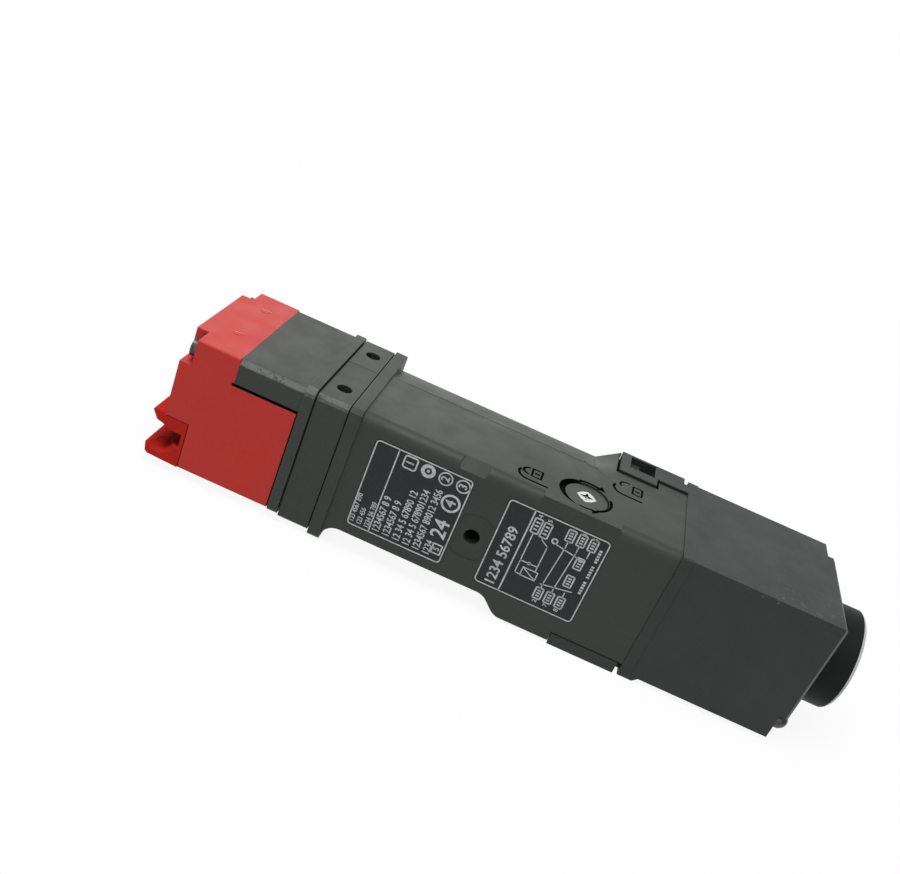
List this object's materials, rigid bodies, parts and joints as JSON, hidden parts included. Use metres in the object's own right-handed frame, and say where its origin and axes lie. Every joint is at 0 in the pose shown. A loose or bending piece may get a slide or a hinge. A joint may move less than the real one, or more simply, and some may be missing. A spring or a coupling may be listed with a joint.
{
  "type": "tongue interlock switch",
  "caption": "Slim guard-lock safety switch: a tongue key enters the head and turns a cam, a solenoid rod locks it, and a selector on the front releases the lock.",
  "frame": {"origin": "centre of the outline on the mounting plane under the back ribs (Z = 0)", "axes": "+X along the length from the key slots to the conduit entry, +Z out of the release face, +Y across"},
  "size_m": [0.2046, 0.0462, 0.0426],
  "materials": {
    "black_plastic": "moulded black glass-filled plastic, fine matt grain",
    "red_plastic": "moulded red plastic, satin",
    "rubber": "black nitrile seal",
    "steel": "zinc plated steel",
    "stainless": "ground stainless steel",
    "brass": "turned brass",
    "copper_winding": "enamelled copper winding",
    "silver_contact": "silver-faced contact strip",
    "pale_plastic": "natural moulded plastic",
    "spring_steel": "drawn spring wire"
  },
  "bodies": {
    "switch_body": {"case_shell": "black_plastic", "mounting_block": "black_plastic", "head_gasket": "rubber", "block_gasket": "rubber", "head_base": "black_plastic", "head_cover": "red_plastic", "key_guide": "red_plastic", "head_screws": "steel", "plunger_spring": "spring_steel", "plunger_seal": "rubber", "contact_housing": "pale_plastic", "lock_contact_housing": "pale_plastic", "fixed_contacts": "silver_contact", "lock_fixed_contacts": "silver_contact", "lock_spring": "spring_steel", "solenoid_frame": "steel", "solenoid_core": "steel", "solenoid_bobbin": "pale_plastic", "solenoid_coil": "copper_winding", "release_seal": "rubber", "terminal_cover": "black_plastic", "cover_screws": "steel", "screw_inserts": "brass", "block_screws": "steel", "cover_seal": "rubber", "terminal_block": "pale_plastic", "terminal_clamps": "brass", "terminal_screws": "steel", "conduit_bush": "black_plastic", "bush_seal": "rubber", "bush_ring": "pale_plastic"},
    "cam": {"operating_cam": "steel", "cam_shaft": "stainless"},
    "plunger": {"contact_plunger": "stainless", "contact_bridges": "silver_contact"},
    "lock": {"lock_rod": "stainless", "lock_link": "steel", "solenoid_plunger": "steel", "lock_bridge": "silver_contact"},
    "release": {"release_selector": "black_plastic", "release_insert": "steel", "release_clip": "spring_steel"}
  },
  "joints": [
    {"name": "cam_turn", "type": "hinge", "parent": "switch_body", "child": "cam", "pos_m": [-0.084, 0, 0.02], "axis": [0, -1, 0], "range_deg": [0, 60]},
    {"name": "plunger_slide", "type": "slide", "parent": "switch_body", "child": "plunger", "axis": [-1, 0, 0], "range_m": [0, 0.004], "deforming": ["plunger_spring"]},
    {"name": "lock_slide", "type": "slide", "parent": "switch_body", "child": "lock", "axis": [-1, 0, 0], "range_m": [0, 0.004], "deforming": ["lock_spring"]},
    {"name": "release_turn", "type": "hinge", "parent": "switch_body", "child": "release", "pos_m": [0.01565, -0.0125, 0.042], "axis": [0, 0, -1], "range_deg": [0, 130]}
  ],
  "couplings": [
    {"joint": "cam_turn", "follows": "plunger_slide", "rad_per_m": 261.79}
  ]
}
